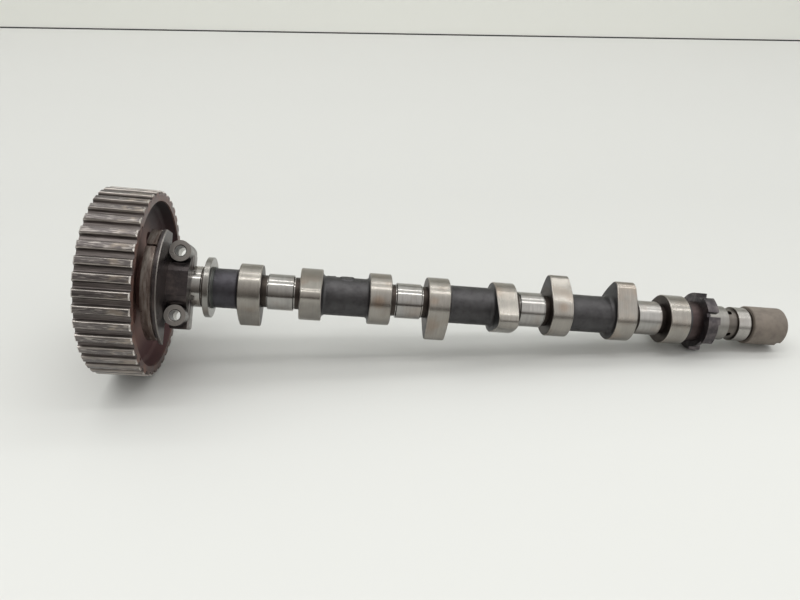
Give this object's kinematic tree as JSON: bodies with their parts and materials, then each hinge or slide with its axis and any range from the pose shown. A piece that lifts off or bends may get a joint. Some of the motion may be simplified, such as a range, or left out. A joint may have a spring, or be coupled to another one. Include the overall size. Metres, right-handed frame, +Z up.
{
  "type": "camshaft",
  "caption": "Overhead camshaft with its toothed belt pulley, front bearing cap, oil seal and trigger ring, lying on its side.",
  "frame": {"origin": "centre of the assembly's footprint, on the surface it lies on", "axes": "+X along the shaft from the belt pulley to the drive end, -Y towards the bearing cap's bolts, +Z up; the shaft's own axis dips towards the drive end because the pulley is the larger end"},
  "size_m": [0.4748, 0.1204, 0.1228],
  "materials": {
    "ground_cast_iron": "as-cast dark barrels with ground lobes and polished journals",
    "sintered_steel": "oily sintered steel, worn brighter on the tooth crests",
    "bright_steel": "plain bright steel",
    "zinc_steel": "zinc plated steel, dulled by heat",
    "seal_rubber": "brown-black moulded rubber",
    "cast_aluminium": "sand-cast aluminium, darkened by oil, machined on the bosses",
    "oxidised_steel": "dark oxidised steel"
  },
  "bodies": {
    "root": {"camshaft": "ground_cast_iron", "belt_pulley": "sintered_steel", "pulley_key": "bright_steel", "pulley_washer": "bright_steel", "pulley_bolt": "zinc_steel", "seal_case": "bright_steel", "seal_lip": "seal_rubber", "garter_spring": "bright_steel", "front_bearing_cap": "cast_aluminium", "upper_cap_dowel": "bright_steel", "lower_cap_dowel": "bright_steel", "trigger_ring": "oxidised_steel", "gallery_plug": "bright_steel"}
  },
  "joints": []
}
